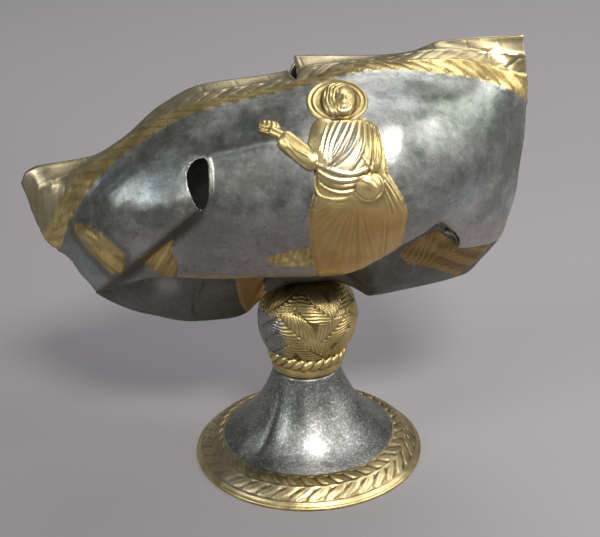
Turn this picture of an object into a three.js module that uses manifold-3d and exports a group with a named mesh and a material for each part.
// A crushed silver-gilt chalice: a flattened, folded bowl on a leafed knop, a rope collar and a flared foot.
// Millimetres, +Z up. Every piece is drawn about the foot's axis with the ground at z = 0, and the
// whole is then moved so that the middle of its outline in plan and its lowest point are the origin.
import * as THREE from "three";
import Module from "manifold-3d";

const wasm = await Module();
wasm.setup();

// Foot
const FOOT_RADIUS = 55;
const FOOT_HEIGHT = 46;
const FOOT_WALL = 1.6;
const FOOT_HOLLOW_DROP = 2.8;
const FOOT_TOP_RADIUS = 15.6;
const WREATH_INNER_RADIUS = 41.4;
const WREATH_INNER_HEIGHT = 10;
const WREATH_OUTER_HEIGHT = 2.6;
const WREATH_BULGE = 1.1;
const FLANGE_WIDTH = 1.8;
const FLANGE_THICKNESS = 1.2;
const SOLE_WIDTH = 3.2;
const FOOT_LEAVES = 28;
const FOOT_LEAF_RELIEF = 1.1;
const FOOT_DENT_DEPTH = 2.2;
const FOOT_DENT_ANGLE = THREE.MathUtils.degToRad(222);
const FOOT_DENT_SPREAD = 0.3;
const FOOT_DENT_PLACE = 0.7;
const FOOT_DENT_REACH = 0.4;

// Stem: collar and knop, stacked on the foot with a soldered seam between each two
const SEAM = 0.3;
const STEM_LEAN = 0.03;
const FILLET_HEIGHT = 5;
const FILLET_RADIUS = 16.8;
const FILLET_FOOT_INSET = 1.2;
const FILLET_TOP_INSET = 0.7;
const ROPE_RADIUS = 3.6;
const ROPE_CENTRE_RADIUS = 14.9;
const ROPE_STRANDS = 20;
const ROPE_RELIEF = 0.55;
const ROPE_STEPS = 4;
const ROPE_FROM = -48;
const ROPE_TO = 60;
const KNOP_RADIUS = 24;
const KNOP_HEIGHT = 35.5;
const KNOP_BELOW_CENTRE = 13.8;
const KNOP_LEAVES = 8;
const KNOP_TIERS = 3;
const KNOP_LEAF_RELIEF = 1.5;

// Bowl
const BOWL_WALL = 1.2;
const BOWL_SEAT_RADIUS = 11;
const BACK_GAP = 15;
const BACK_DROP = 6;
const BACK_BULGE = 25;
const TIP_NOSE = 0.04;
const HEM_DEPTH = 3.4;
const HEM_DROP = 0.7;
const HEM_END_DEPTH = 0.4;
const LEAF_RELIEF = 0.9;
const LEAF_SLANT = 0.006;
const FRONT_COLUMNS = 60;
const BACK_COLUMNS = 20;
const FIGURE_CROWDING = 0.36;
const FIGURE_PLACE = 0.66;
const CREASE_STEP = 4.4;
const CREASE_SINK = 3.5;
const CREASE_SINK_REACH = 7;
const CREASE_REACH = 17;

// The reliefs are drawn as seen from the front and above, on a plane square to the eye.
const EYE = new THREE.Vector3(-2.2, -500, 319.3);
const EYE_PITCH = 0.4205;
const EYE_ROLL = -0.0245;
const PLANE_DISTANCE = 510.8;

const lerp = THREE.MathUtils.lerp;
const clamp = THREE.MathUtils.clamp;
const smooth = (lo, hi, x) => THREE.MathUtils.smoothstep(x, lo, hi);

// The crushed front wall, as level lines from the under edge up to the rim. Each runs from the
// folded left edge to the folded right edge, with points [across, depth, height] where it turns.
const LEVELS = [
  {
    name: "under",
    points: [
      [-94, -14, 92.1], [-88, -14, 88.1], [-71, -12, 80.1], [-53, -13, 76.6], [-35, -12, 77.1], [-27, -13, 80.1],
      [-15, -16, 99.1], [17, -15, 100.1], [29, -11, 86.1], [44, -10, 88.1], [68, -9, 92.1], [79, -8, 95.1],
    ],
  },
  {
    name: "tuck",
    points: [
      [-94, -16, 93.6], [-69, -23, 94.1], [-51, -25, 92.1], [-28, -23, 93.1], [-14, -22, 103.1], [17, -21, 104.1],
      [30, -21, 96.1], [44, -22, 100.1], [59, -24, 108.1], [78, -16, 104.1], [84, -8, 103.6],
    ],
  },
  {
    name: "fold",
    points: [
      [-94, -17, 94.6], [-84, -24, 99.6], [-63, -32, 107.6], [-23, -42, 110.6], [17, -45, 113.6],
      [31, -43, 118.5], [40, -42, 123.3], [49, -42, 128.4], [57, -41, 133.5], [63, -38, 127], [66, -35, 119.5],
      [78, -24.5, 116], [87, -8, 111.1],
    ],
  },
  {
    name: "flap",
    points: [
      [-95, -18, 97.1], [-75, -38, 113.1], [-54, -44, 129.1], [-43, -48, 135.1], [-22, -52, 131.1],
      [16, -55, 130.1], [42, -50, 133.5], [58, -45, 139], [68, -37, 130.5], [80, -26, 122.6], [89, -8, 115.1],
    ],
  },
  {
    name: "belly",
    points: [
      [-97, -18, 100.1], [-87, -35, 113.1], [-61, -47, 135.1], [-44, -51, 145.1], [-22, -56, 145.6],
      [16, -59, 146.1], [41, -55, 144.6], [60, -46, 144], [79, -29, 131.1], [91, -8, 122.1],
    ],
  },
  {
    name: "chest",
    points: [
      [-100, -18, 104.1], [-87, -38, 121.1], [-60, -49, 147.1], [-21, -52, 158.1], [17, -54, 166.1], [39, -50, 166.1],
      [60, -44, 158.1], [78, -31, 148.1], [94, -8, 134.1],
    ],
  },
  {
    name: "shoulder",
    points: [
      [-102, -18, 108.1], [-89, -38, 128.1], [-75, -45, 146.1], [-41, -44, 164.1], [17, -45, 177.6],
      [39, -42, 177.6], [60, -38, 172.6], [78, -29, 163.1], [95, -8, 145.1],
    ],
  },
  {
    name: "upper",
    points: [
      [-104.5, -18, 112.1], [-92, -35, 134.1], [-79.5, -40, 151.1], [-42, -34, 172.1], [18, -33, 185.6],
      [61, -30, 183.6], [78, -24, 177.1], [96.5, -8, 160.1],
    ],
  },
  {
    name: "band",
    points: [
      [-108, -17, 114.6], [-100, -28, 132.1], [-87, -33, 151.1], [-72, -27, 163.1], [-42, -23, 178.1],
      [-4, -21, 186.1], [33, -20, 193.1], [73, -19, 188.1], [88, -14, 181.6], [96.5, -8, 174.6],
    ],
  },
  {
    name: "stem",
    points: [
      [-114, -16, 120.6], [-108, -22, 129.6], [-96, -24, 151.1], [-85, -19, 158.1], [-60, -14, 173.1],
      [-43, -13, 179.1], [-1, -11, 186.6], [29, -10, 194.1], [63, -11, 194.6], [96, -7, 185.6],
    ],
  },
  {
    name: "lip",
    points: [
      [-119, -14, 134.1], [-113, -18, 145.1], [-93, -14, 153.1], [-61, -8, 173.6], [-43, -6, 181.1],
      [-6, -4, 186.6], [0, -4, 191.1], [34, -3, 193.6], [60, -3, 197.1], [95, -6, 194.6],
    ],
  },
  {
    name: "rim",
    points: [
      [-122.5, -12, 145.1], [-120, -12, 150.1], [-113, -12, 153.1], [-92, -8, 155.1], [-79, -4, 161.1],
      [-61, -1, 175.1], [-43, 0, 183.6], [-6, 3, 188.1], [-2, 3, 194.6], [34, 4, 193.6], [47, 4, 194.6],
      [60, 3, 199.1], [94, -4, 203.1],
    ],
  },
];

// Rows of the bowl's skin, as places on the list of levels: 0 is the seat, 1 under, and so on.
const LEVEL_AT = {
  seat: 0,
  under: 1,
  tuck: 2,
  hem: 3,
  fold: 4,
  flap: 5,
  belly: 6,
  chest: 7,
  shoulder: 8,
  upper: 9,
  band: 10,
  stem: 11,
  lip: 12,
  rim: 13,
};
const BOWL_ROWS = [
  0, 0.5, 1, 1.5, 2, 3, 4, 4.5, 5, 5.5, 6, 6.5, 7, 7.5, 8, 8.5, 9, 10, 10.5, 11, 11.5, 12, 13,
];

// A curve through points that never swings past them; column 0 of each point is where, axis is what.
function through(points, where, axis) {
  const last = points.length - 1;
  if (where <= points[0][0]) return points[0][axis];
  if (where >= points[last][0]) return points[last][axis];
  let i = 0;
  while (points[i + 1][0] < where) i += 1;
  const slope = (k) => (points[k + 1][axis] - points[k][axis]) / (points[k + 1][0] - points[k][0]);
  const tangent = (k) => {
    if (k === 0) return slope(0);
    if (k === last) return slope(last - 1);
    const before = slope(k - 1);
    const after = slope(k);
    return before * after <= 0 ? 0 : (2 * before * after) / (before + after);
  };
  const width = points[i + 1][0] - points[i][0];
  const t = (where - points[i][0]) / width;
  const rise = t * t * (3 - 2 * t);
  return (
    points[i][axis] * (1 - rise) +
    points[i + 1][axis] * rise +
    width * t * (1 - t) * (tangent(i) * (1 - t) - tangent(i + 1) * t)
  );
}

// One closed skin from rings of points, each a closed loop or a single point at a pole.
function skin(rings) {
  const points = [];
  const faces = [];
  const loops = rings.map((ring) =>
    ring.map((point) => {
      points.push(point.x, point.y, point.z);
      return points.length / 3 - 1;
    }),
  );
  const pick = (loop, step, steps) => loop[Math.floor((step * loop.length) / steps) % loop.length];
  for (let k = 0; k + 1 < loops.length; k += 1) {
    const steps = Math.max(loops[k].length, loops[k + 1].length);
    for (let step = 0; step < steps; step += 1) {
      const a = pick(loops[k], step, steps);
      const b = pick(loops[k], step + 1, steps);
      const c = pick(loops[k + 1], step + 1, steps);
      const d = pick(loops[k + 1], step, steps);
      if (a !== b) faces.push(a, b, c);
      if (c !== d) faces.push(a, c, d);
    }
  }
  return new wasm.Manifold(
    new wasm.Mesh({
      numProp: 3,
      vertProperties: new Float32Array(points),
      triVerts: new Uint32Array(faces),
    }),
  );
}

function ring(count, place) {
  return Array.from({ length: count }, (_, i) => place((i / count) * 2 * Math.PI, i));
}

const polar = (radius, angle, z) => new THREE.Vector3(radius * Math.cos(angle), radius * Math.sin(angle), z);

// Foot: a hollow trumpet with a wreath band and a thin flange, standing on a flat sole.
// Each step of the flare is a share of the way out and a share of the way down to the wreath.
const FLARE_STEPS = [[0, 0], [0.1, 0.2], [0.26, 0.44], [0.47, 0.67], [0.72, 0.86], [1, 1]];
const footProfile = FLARE_STEPS.map(([out, down]) => [
  lerp(FOOT_TOP_RADIUS, WREATH_INNER_RADIUS, out),
  lerp(FOOT_HEIGHT, WREATH_INNER_HEIGHT, down),
]);

function footDent(angle, radius, z) {
  const away = Math.atan2(Math.sin(angle - FOOT_DENT_ANGLE), Math.cos(angle - FOOT_DENT_ANGLE));
  const middle = (radius - FOOT_TOP_RADIUS) / (WREATH_INNER_RADIUS - FOOT_TOP_RADIUS);
  const across = Math.exp(-((away / FOOT_DENT_SPREAD) ** 2));
  const along = Math.exp(-(((middle - FOOT_DENT_PLACE) / FOOT_DENT_REACH) ** 2));
  return z - FOOT_DENT_DEPTH * across * along;
}

function makeFoot() {
  const columns = 2 * FOOT_LEAVES;
  const bandOuter = FOOT_RADIUS - FLANGE_WIDTH;
  const bandRow = (share, raised, turn) =>
    ring(columns, (angle, i) => {
      const radius = lerp(WREATH_INNER_RADIUS, bandOuter, share);
      const arch = WREATH_BULGE * Math.sin(Math.PI * share);
      const leaf = raised * (i % 2 === 0 ? FOOT_LEAF_RELIEF : 0);
      const z = lerp(WREATH_INNER_HEIGHT, WREATH_OUTER_HEIGHT, share) + arch + leaf;
      return polar(radius, angle + (turn * Math.PI) / FOOT_LEAVES, z);
    });
  const outer = [
    ring(columns, (angle) => polar(FOOT_RADIUS, angle, 0)),
    ring(columns, (angle) => polar(FOOT_RADIUS, angle, FLANGE_THICKNESS)),
    bandRow(1, 0, 1),
    bandRow(0.76, 1, 0.55),
    bandRow(0.5, 0.45, 0),
    bandRow(0.24, 1, 0.55),
  ];
  [...footProfile].reverse().forEach(([radius, z]) => {
    outer.push(ring(columns, (angle) => polar(radius, angle, footDent(angle, radius, z))));
  });
  outer.push([new THREE.Vector3(0, 0, FOOT_HEIGHT)]);
  const inside = [[new THREE.Vector3(0, 0, FOOT_HEIGHT - 2 * FOOT_WALL)]];
  footProfile.forEach(([radius, z]) => {
    const reach = radius - FOOT_WALL;
    inside.push(
      ring(columns / 2, (angle) => polar(reach, angle, footDent(angle, radius, z) - FOOT_HOLLOW_DROP)),
    );
  });
  const soleInner = FOOT_RADIUS - SOLE_WIDTH;
  inside.push(ring(columns / 2, (angle) => polar(soleInner - 1, angle, FLANGE_THICKNESS)));
  inside.push(ring(columns / 2, (angle) => polar(soleInner, angle, 0)));
  return skin([...inside, ...outer]);
}

// Collar: a turned fillet that carries a twisted rope ring.
const collarBottom = FOOT_HEIGHT + SEAM;
const ropeCentre = collarBottom + FILLET_HEIGHT + ROPE_RADIUS * 0.75;
const collarTop = ropeCentre + (ROPE_RADIUS + ROPE_RELIEF) * 0.9;
const stemShift = (z) => STEM_LEAN * (z - FOOT_HEIGHT);

function onStem(point) {
  return new THREE.Vector3(point.x + stemShift(point.z), point.y, point.z);
}

function makeCollar() {
  const columns = 3 * ROPE_STRANDS;
  const rings = [[onStem(new THREE.Vector3(0, 0, collarBottom))]];
  const filletRing = (radius, z) => ring(columns, (angle) => onStem(polar(radius, angle, z)));
  rings.push(filletRing(FILLET_RADIUS - FILLET_FOOT_INSET, collarBottom));
  rings.push(filletRing(FILLET_RADIUS, collarBottom + FILLET_HEIGHT * 0.35));
  rings.push(filletRing(FILLET_RADIUS - FILLET_TOP_INSET, collarBottom + FILLET_HEIGHT));
  for (let step = 0; step < ROPE_STEPS; step += 1) {
    const around = THREE.MathUtils.degToRad(lerp(ROPE_FROM, ROPE_TO, step / (ROPE_STEPS - 1)));
    rings.push(
      ring(columns, (angle) => {
        const strand = Math.cos(ROPE_STRANDS * angle - around * 1.6);
        const reach = ROPE_RADIUS + ROPE_RELIEF * strand;
        const radius = ROPE_CENTRE_RADIUS + reach * Math.cos(around);
        return onStem(polar(radius, angle, ropeCentre + reach * Math.sin(around)));
      }),
    );
  }
  rings.push(filletRing(ROPE_CENTRE_RADIUS - 1, collarTop));
  rings.push([onStem(new THREE.Vector3(0, 0, collarTop))]);
  return skin(rings);
}

// Knop: a ball of overlapping leaves in tiers.
const knopBottom = collarTop + SEAM;
const knopCentre = knopBottom + KNOP_BELOW_CENTRE;
const knopTop = knopBottom + KNOP_HEIGHT;

function knopLeaf(angle, share) {
  const tier = share * KNOP_TIERS;
  const turn = Math.floor(tier) % 2 === 0 ? 0 : 0.5;
  const across = Math.abs((((angle / (2 * Math.PI)) * KNOP_LEAVES + turn) % 1) - 0.5) * 2;
  const along = tier - Math.floor(tier);
  return KNOP_LEAF_RELIEF * (1 - across ** 2) * (1 - 0.75 * along);
}

function makeKnop() {
  const columns = 4 * KNOP_LEAVES;
  const rows = 4 * KNOP_TIERS;
  const rings = [[onStem(new THREE.Vector3(0, 0, knopBottom))]];
  for (let row = 0; row <= rows; row += 1) {
    const z = lerp(knopBottom, knopTop, row / rows);
    const level = clamp((z - knopCentre) / KNOP_RADIUS, -0.999, 0.999);
    const plain = KNOP_RADIUS * Math.sqrt(1 - level * level) - KNOP_LEAF_RELIEF;
    const edge = row === 0 || row === rows ? 0 : 1;
    rings.push(
      ring(columns, (angle) => onStem(polar(plain + edge * knopLeaf(angle, row / rows), angle, z))),
    );
  }
  rings.push([onStem(new THREE.Vector3(0, 0, knopTop))]);
  return skin(rings);
}

// Bowl, first the bare crushed sheet
const seatHeight = knopTop + SEAM;
const seatCentre = stemShift(seatHeight);
const edgeOf = (level, side) => level.points[side === "left" ? 0 : level.points.length - 1];

const hemOf = (level) => ({
  name: "hem",
  points: level.points.map(([x, y, z], i, all) => {
    const end = i === 0 || i === all.length - 1;
    return end ? [x, y + HEM_END_DEPTH, z - HEM_DROP / 2] : [x, y + HEM_DEPTH, z - HEM_DROP];
  }),
});
const foldPlace = LEVELS.findIndex((level) => level.name === "fold");
const sheetLevels = [...LEVELS];
sheetLevels.splice(foldPlace, 0, hemOf(LEVELS[foldPlace]));

// A level line at a share of the bowl's width, on the front wall or on the plain back wall.
function levelPoint(level, side, share) {
  const left = edgeOf(level, "left");
  const right = edgeOf(level, "right");
  const x = lerp(left[0], right[0], share);
  if (side === "front") return new THREE.Vector3(x, through(level.points, x, 1), through(level.points, x, 2));
  const under = sheetLevels[0];
  const rim = sheetLevels[sheetLevels.length - 1];
  const down = (edge) => {
    const top = edgeOf(rim, edge)[2];
    return (top - edgeOf(level, edge)[2]) / (top - edgeOf(under, edge)[2]);
  };
  const drop = lerp(down("left"), down("right"), share);
  const place = (line) => lerp(edgeOf(line, "left")[0], edgeOf(line, "right")[0], share);
  const fromTip = Math.min(share, 1 - share);
  const nose = Math.sqrt(1 - (1 - Math.min(fromTip / TIP_NOSE, 1)) ** 2);
  const arch = Math.sqrt(Math.max(1 - (2 * share - 1) ** 2, 0));
  const rimDepth = through(rim.points, place(rim), 1) + BACK_GAP;
  const underDepth = -through(under.points, place(under), 1) + 3;
  const backDepth = lerp(rimDepth, underDepth, drop) + BACK_BULGE * arch * Math.sin(Math.PI * drop) ** 0.85;
  const rimHeight = through(rim.points, place(rim), 2) - BACK_DROP;
  const backHeight = lerp(rimHeight, through(under.points, place(under), 2), drop);
  const tip = fromTip === share ? left : right;
  return new THREE.Vector3(x, lerp(tip[1], backDepth, nose), lerp(tip[2], backHeight, nose));
}

// The sheet at one column, from the seat (place 0) up to the rim (place 13).
function sheetPoint(side, share, place) {
  const turn = side === "front" ? Math.PI * (1 + share) : Math.PI * (1 - share);
  const at = (k) => {
    if (k <= 0) {
      return polar(BOWL_SEAT_RADIUS, turn, seatHeight).add(new THREE.Vector3(seatCentre, 0, 0));
    }
    return levelPoint(sheetLevels[k - 1], side, share);
  };
  const top = sheetLevels.length;
  const k = Math.min(Math.floor(place), top - 1);
  const p1 = at(k);
  const p2 = at(k + 1);
  if (k === 0) return p1.clone().lerp(p2, place).setZ(lerp(p1.z, p2.z, place ** 2));
  const p0 = at(k - 1);
  const p3 = k + 2 <= top ? at(k + 2) : p2.clone().multiplyScalar(2).sub(p1);
  return new THREE.CatmullRomCurve3([p0, p1, p2, p3], false, "centripetal").getPoint((1 + place - k) / 3);
}

// Where a point of the sheet falls on the drawing plane: across and up, in millimetres.
function onPlane(point) {
  const ahead = new THREE.Vector3(0, Math.cos(EYE_PITCH), -Math.sin(EYE_PITCH));
  const right = new THREE.Vector3(1, 0, 0);
  const up = new THREE.Vector3().crossVectors(right, ahead);
  const away = point.clone().sub(EYE);
  const scale = PLANE_DISTANCE / away.dot(ahead);
  const across = away.dot(right) * scale;
  const rise = away.dot(up) * scale;
  const turn = EYE_ROLL;
  return [
    across * Math.cos(turn) + rise * Math.sin(turn),
    rise * Math.cos(turn) - across * Math.sin(turn),
  ];
}

// The deep crease at the left, where the rolled side laps over the middle of the front wall.
const CREASE_FROM = [-42, 26];
const CREASE_TO = [-86, -10];

function creaseHeight([across, rise]) {
  const along = [CREASE_TO[0] - CREASE_FROM[0], CREASE_TO[1] - CREASE_FROM[1]];
  const length = Math.hypot(...along);
  const offset = [across - CREASE_FROM[0], rise - CREASE_FROM[1]];
  const share = (offset[0] * along[0] + offset[1] * along[1]) / length ** 2;
  const side = (offset[0] * along[1] - offset[1] * along[0]) / length;
  const fade = smooth(-0.08, 0.25, share) * (1 - smooth(0.75, 1.05, share));
  if (side > 0) return CREASE_STEP * fade * Math.exp(-((side / CREASE_REACH) ** 2));
  return -CREASE_SINK * fade * Math.exp(-((side / CREASE_SINK_REACH) ** 2));
}

function sheetWithCrease(side, share, place) {
  const point = sheetPoint(side, share, place);
  if (side !== "front" || place <= LEVEL_AT.hem || place >= LEVEL_AT.upper) return point;
  const height = creaseHeight(onPlane(point));
  if (Math.abs(height) < 0.01) return point;
  return point.addScaledVector(EYE.clone().sub(point).normalize(), height);
}

function outward(side, share, place) {
  const step = 0.004;
  const low = clamp(share - step, 0, 1);
  const high = clamp(share + step, 0, 1);
  const across = sheetPoint(side, high, place).sub(sheetPoint(side, low, place));
  const above = Math.min(place + 0.06, sheetLevels.length);
  const below = Math.max(place - 0.06, 0);
  const up = sheetPoint(side, share, above).sub(sheetPoint(side, share, below));
  const normal = across.cross(up).normalize();
  return side === "front" ? normal : normal.negate();
}

// Columns of the skin: across the front from left to right, crowded at the figure, then back.
const crowd = (t) => t + (FIGURE_CROWDING / (2 * Math.PI)) * Math.sin(2 * Math.PI * (t - FIGURE_PLACE + 0.5));

const COLUMNS = [];
for (let i = 0; i < FRONT_COLUMNS; i += 1) {
  COLUMNS.push({ side: "front", share: crowd(i / FRONT_COLUMNS) - crowd(0) });
}
for (let i = 0; i < BACK_COLUMNS; i += 1) {
  const angle = (Math.PI * i) / BACK_COLUMNS;
  COLUMNS.push({ side: "back", share: (1 + Math.cos(angle)) / 2 });
}

function bowlColumn({ side, share }, place, raised, slant, inward) {
  const turned = clamp(share + (side === "front" ? slant : -slant), 0, 1);
  const normal = outward(side, turned, place);
  return sheetWithCrease(side, turned, place).addScaledVector(normal, raised - inward);
}

function bowlRow(place) {
  const inBand = place > LEVEL_AT.band && place < LEVEL_AT.lip;
  const leafRow = inBand && place !== LEVEL_AT.stem;
  const slant = inBand || place === LEVEL_AT.band ? LEAF_SLANT * Math.abs(place - LEVEL_AT.stem) : 0;
  return COLUMNS.map((column, i) => {
    const leaf = leafRow && i % 2 === 0 ? LEAF_RELIEF : 0;
    const stem = place === LEVEL_AT.stem ? LEAF_RELIEF * 0.6 : 0;
    return bowlColumn(column, place, leaf + stem, slant, 0);
  });
}

// The figure in relief: each form is a height over the drawing plane, in millimetres.
const HALO = { centre: [16.4, 71.2], across: 12.9, up: 9.6, rim: 0.9, disc: 0.5 };
const HEAD = { centre: [16, 71], across: 6.6, up: 6.4, height: 4 };
const ROBE = [
  [7, 64], [28.5, 64.5], [33.5, 61], [36, 52], [38, 41], [45, 29.5], [46.5, 23.5], [44, 10], [38, 1],
  [20, -3.5], [8, -4.5], [5.5, 12], [4.5, 24], [7, 33], [6, 42], [4, 48],
];
const ARMS = [
  { from: [8, 61], to: [3.5, 46], radius: 4, height: 3.4 },
  { from: [3.5, 46], to: [-6, 55.5], radius: 3.2, height: 3 },
  { from: [-6, 55.5], to: [-16, 61], radius: 2.4, height: 2 },
  { from: [33, 58], to: [34, 42], radius: 4, height: 3.2 },
  { from: [34, 42], to: [26, 35], radius: 4.6, height: 4.2 },
];
const ROBE_HEIGHT = 2.3;
const FOLD_RELIEF = 1;
const FOLD_PIVOT = [22, 30];
const FOLDS_ROUND = 13;

function ellipseShare([a, b], form) {
  return Math.hypot((a - form.centre[0]) / form.across, (b - form.centre[1]) / form.up);
}

function insideDistance([a, b], outline) {
  let nearest = Infinity;
  let within = false;
  outline.forEach(([x1, y1], i) => {
    const [x2, y2] = outline[(i + 1) % outline.length];
    const run = clamp(((a - x1) * (x2 - x1) + (b - y1) * (y2 - y1)) / ((x2 - x1) ** 2 + (y2 - y1) ** 2), 0, 1);
    nearest = Math.min(nearest, Math.hypot(a - lerp(x1, x2, run), b - lerp(y1, y2, run)));
    if (y1 > b !== y2 > b && a < x1 + ((b - y1) / (y2 - y1)) * (x2 - x1)) within = !within;
  });
  return within ? nearest : -nearest;
}

function capsuleHeight([a, b], { from, to, radius, height }) {
  const along = [to[0] - from[0], to[1] - from[1]];
  const share = ((a - from[0]) * along[0] + (b - from[1]) * along[1]) / (along[0] ** 2 + along[1] ** 2);
  const run = clamp(share, 0, 1);
  const away = Math.hypot(a - from[0] - run * along[0], b - from[1] - run * along[1]) / radius;
  return away < 1 ? height * Math.sqrt(1 - away * away) : BURY * (away - 1);
}

function drapery([a, b]) {
  const angle = Math.atan2(b - FOLD_PIVOT[1], a - FOLD_PIVOT[0]);
  const away = Math.hypot(a - FOLD_PIVOT[0], b - FOLD_PIVOT[1]);
  return FOLD_RELIEF * Math.cos(angle * FOLDS_ROUND) * smooth(3, 12, away);
}

function figureHeight(spot) {
  const inRobe = insideDistance(spot, ROBE);
  const robe = ROBE_HEIGHT * smooth(0, 3, inRobe) + drapery(spot) * smooth(0, 4, inRobe);
  const heights = [inRobe > 0 ? robe : (-BURY * inRobe) / 2];
  ARMS.forEach((arm) => heights.push(capsuleHeight(spot, arm)));
  const halo = ellipseShare(spot, HALO);
  const rim = HALO.rim * Math.min((1 - halo) * 12, 1);
  heights.push(halo > 1 ? BURY * (halo - 1) * 4 : lerp(HALO.disc, rim, smooth(0.78, 0.86, halo)));
  const head = ellipseShare(spot, HEAD);
  if (head < 1) heights.push(HEAD.height * Math.sqrt(1 - head * head) + HALO.disc);
  return Math.max(...heights);
}

const BURY = -0.35;
const FIGURE_FROM = 0.46;
const FIGURE_TO = 0.795;
const FIGURE_COLUMNS = 24;
const FIGURE_ROWS = 27;
const FIGURE_BURIED = 0.8;

function makeFigure() {
  const grid = (height) =>
    Array.from({ length: FIGURE_ROWS + 1 }, (_, row) => {
      const place = lerp(LEVEL_AT.fold + 0.05, LEVEL_AT.band - 0.1, row / FIGURE_ROWS);
      return Array.from({ length: FIGURE_COLUMNS + 1 }, (__, column) => {
        const share = lerp(FIGURE_FROM, FIGURE_TO, column / FIGURE_COLUMNS);
        const point = sheetPoint("front", share, place);
        const raised = height(onPlane(point));
        return point.addScaledVector(outward("front", share, place), raised);
      });
    });
  const top = grid((spot) => Math.max(figureHeight(spot), BURY));
  const bottom = grid(() => -FIGURE_BURIED);
  return patchSolid(top, bottom);
}

// A closed slab from two matching grids of points.
function patchSolid(top, bottom) {
  const rows = top.length;
  const columns = top[0].length;
  const points = [];
  const faces = [];
  [top, bottom].forEach((grid) => grid.forEach((row) => row.forEach((p) => points.push(p.x, p.y, p.z))));
  const onTop = (r, c) => r * columns + c;
  const onBottom = (r, c) => rows * columns + r * columns + c;
  const quad = (a, b, c, d) => faces.push(a, b, c, a, c, d);
  for (let r = 0; r + 1 < rows; r += 1) {
    for (let c = 0; c + 1 < columns; c += 1) {
      quad(onTop(r, c), onTop(r, c + 1), onTop(r + 1, c + 1), onTop(r + 1, c));
      quad(onBottom(r, c), onBottom(r + 1, c), onBottom(r + 1, c + 1), onBottom(r, c + 1));
    }
  }
  for (let c = 0; c + 1 < columns; c += 1) {
    quad(onBottom(0, c), onBottom(0, c + 1), onTop(0, c + 1), onTop(0, c));
    quad(onTop(rows - 1, c), onTop(rows - 1, c + 1), onBottom(rows - 1, c + 1), onBottom(rows - 1, c));
  }
  for (let r = 0; r + 1 < rows; r += 1) {
    quad(onTop(r, 0), onTop(r + 1, 0), onBottom(r + 1, 0), onBottom(r, 0));
    quad(onBottom(r, columns - 1), onBottom(r + 1, columns - 1), onTop(r + 1, columns - 1), onTop(r, columns - 1));
  }
  return new wasm.Manifold(
    new wasm.Mesh({
      numProp: 3,
      vertProperties: new Float32Array(points),
      triVerts: new Uint32Array(faces),
    }),
  );
}

// Tears: each outline is drawn on the plane and carried through the front wall along the sight line,
// between two distances from the eye.
const TEARS = [
  {
    near: 440,
    far: 502,
    outline: [
      [-49, 38.5], [-46, 43.5], [-42.5, 47], [-40.5, 44.5], [-39.7, 37], [-39.6, 30], [-41.5, 22],
      [-43.5, 26], [-46.5, 32],
    ],
  },
  {
    near: 470,
    far: 520,
    outline: [[-5.5, 84.7], [-0.9, 80.4], [-2.5, 90.2], [-3, 93], [-7, 93]],
  },
  {
    near: 440,
    far: 505,
    outline: [[61.5, 18.2], [66.5, 16], [68.8, 12.5], [68.4, 9.5], [64.5, 9.5]],
  },
];

function onSight([across, rise], away) {
  const turn = EYE_ROLL;
  const flatAcross = across * Math.cos(turn) - rise * Math.sin(turn);
  const flatRise = rise * Math.cos(turn) + across * Math.sin(turn);
  const share = away / PLANE_DISTANCE;
  return new THREE.Vector3(
    EYE.x + share * flatAcross,
    EYE.y + share * (PLANE_DISTANCE * Math.cos(EYE_PITCH) + flatRise * Math.sin(EYE_PITCH)),
    EYE.z + share * (flatRise * Math.cos(EYE_PITCH) - PLANE_DISTANCE * Math.sin(EYE_PITCH)),
  );
}

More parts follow.
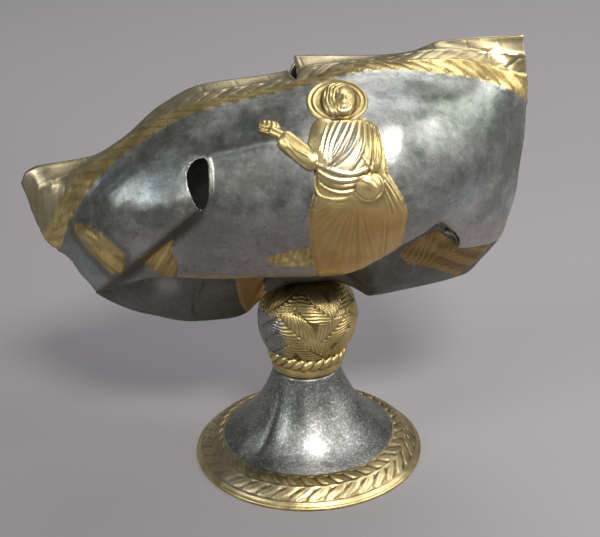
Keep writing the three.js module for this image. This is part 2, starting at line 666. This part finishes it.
function tear({ outline, near, far }) {
  const turnsLeft = THREE.ShapeUtils.area(outline.map(([x, y]) => new THREE.Vector2(x, y))) > 0;
  const loop = turnsLeft ? outline : [...outline].reverse();
  const middle = [0, 1].map((k) => loop.reduce((sum, spot) => sum + spot[k], 0) / loop.length);
  return skin([
    [onSight(middle, far)],
    loop.map((spot) => onSight(spot, far)),
    loop.map((spot) => onSight(spot, near)),
    [onSight(middle, near)],
  ]);
}

function makeBowl() {
  const rings = [[new THREE.Vector3(seatCentre, 0, seatHeight)]];
  BOWL_ROWS.forEach((place) => rings.push(bowlRow(place)));
  const inner = COLUMNS.filter((_, i) => i % 2 === 0);
  const innerPlaces = BOWL_ROWS.filter((place, i) => place < LEVEL_AT.rim && (i % 2 === 0 || place === LEVEL_AT.hem));
  rings.push(inner.map((column) => bowlColumn(column, LEVEL_AT.rim, 0, 0, BOWL_WALL)));
  innerPlaces.reverse().forEach((place) => {
    rings.push(inner.map((column) => bowlColumn(column, place, 0, 0, BOWL_WALL)));
  });
  rings.push([new THREE.Vector3(seatCentre, 0, seatHeight + BOWL_WALL)]);
  const whole = skin(rings).add(makeFigure());
  return TEARS.reduce((bowl, cut) => bowl.subtract(tear(cut)), whole);
}

// Materials and assembly
const SILVER = { color: 0x8d8f8a, metalness: 1, roughness: 0.34 };
const GILT = { color: 0xb98f45, metalness: 1, roughness: 0.38 };

function mesh(name, solid, finish) {
  const made = solid.getMesh();
  const geometry = new THREE.BufferGeometry();
  geometry.setAttribute("position", new THREE.BufferAttribute(new Float32Array(made.vertProperties), 3));
  geometry.setIndex(new THREE.BufferAttribute(new Uint32Array(made.triVerts), 1));
  geometry.computeVertexNormals();
  const piece = new THREE.Mesh(geometry, new THREE.MeshStandardMaterial(finish));
  piece.name = name;
  return piece;
}

const assembly = new THREE.Group();
assembly.add(mesh("foot", makeFoot(), SILVER));
assembly.add(mesh("rope_collar", makeCollar(), GILT));
assembly.add(mesh("knop", makeKnop(), GILT));
assembly.add(mesh("bowl", makeBowl(), SILVER));

const outline = new THREE.Box3().setFromObject(assembly);
assembly.position.set(
  -(outline.min.x + outline.max.x) / 2,
  -(outline.min.y + outline.max.y) / 2,
  -outline.min.z,
);

const chalice = new THREE.Group();
chalice.add(assembly);
export default chalice;
